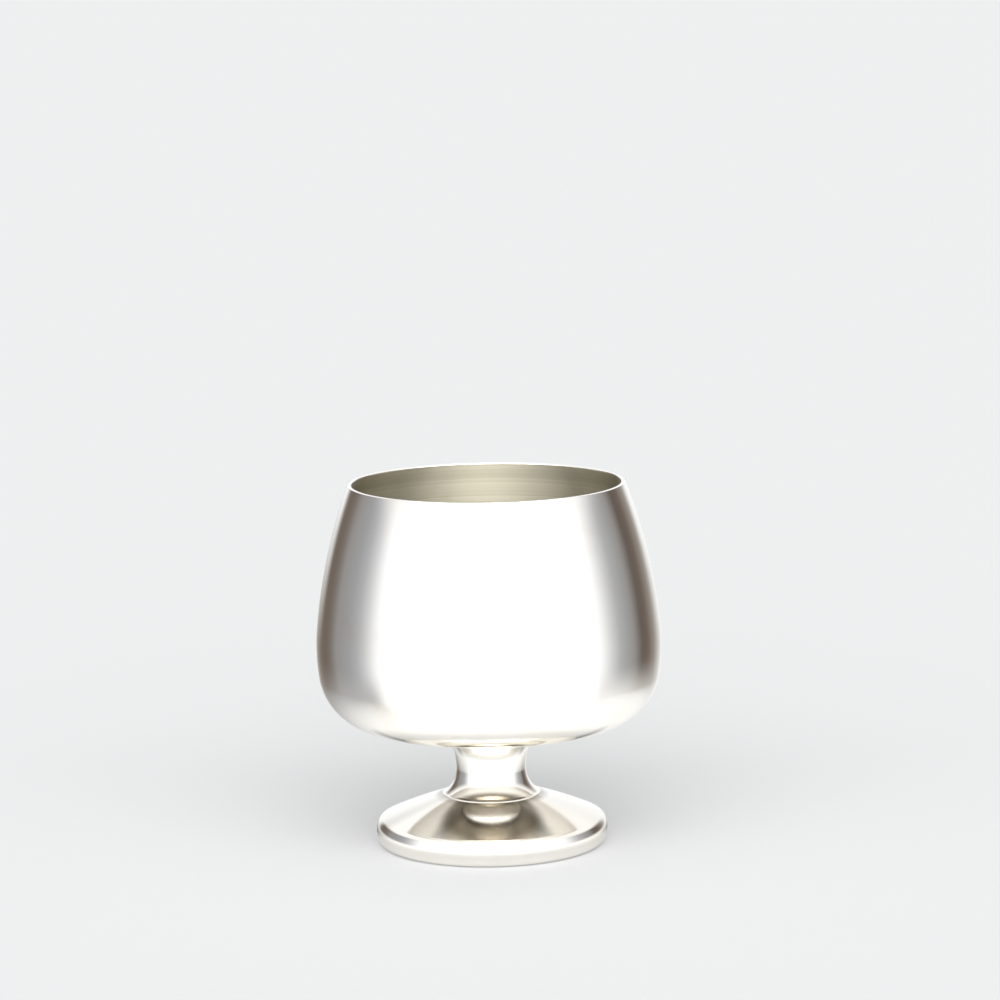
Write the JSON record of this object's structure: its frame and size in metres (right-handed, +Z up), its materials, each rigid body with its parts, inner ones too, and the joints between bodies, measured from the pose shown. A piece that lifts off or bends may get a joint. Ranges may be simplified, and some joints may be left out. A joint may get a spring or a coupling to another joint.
{
  "type": "communion chalice",
  "caption": "Footed communion chalice: a deep tapering metal cup on a short waisted stem and a low domed round foot, polished outside and satin inside, drawn together by a tie stud.",
  "frame": {"origin": "centre of the flat ring that the foot stands on, on the resting plane", "axes": "+Z up along the cup's axis of turning. The cup is round, so X and Y are free: +X runs through a corner of the nut under the foot"},
  "size_m": [0.096, 0.096, 0.1016],
  "materials": {
    "polished_metal": "mirror polish, slightly warm, with fine wiping scratches",
    "satin_metal": "satin with fine horizontal turning lines, a dull khaki grey",
    "plain_steel": "zinc plated steel fasteners, dull"
  },
  "bodies": {
    "root": {"bowl": "polished_metal", "bowl_boss": "polished_metal", "stem": "polished_metal", "foot": "polished_metal", "foot_plate": "plain_steel", "spring_washer": "plain_steel", "hex_nut": "plain_steel", "tie_stud": "plain_steel"}
  },
  "joints": []
}
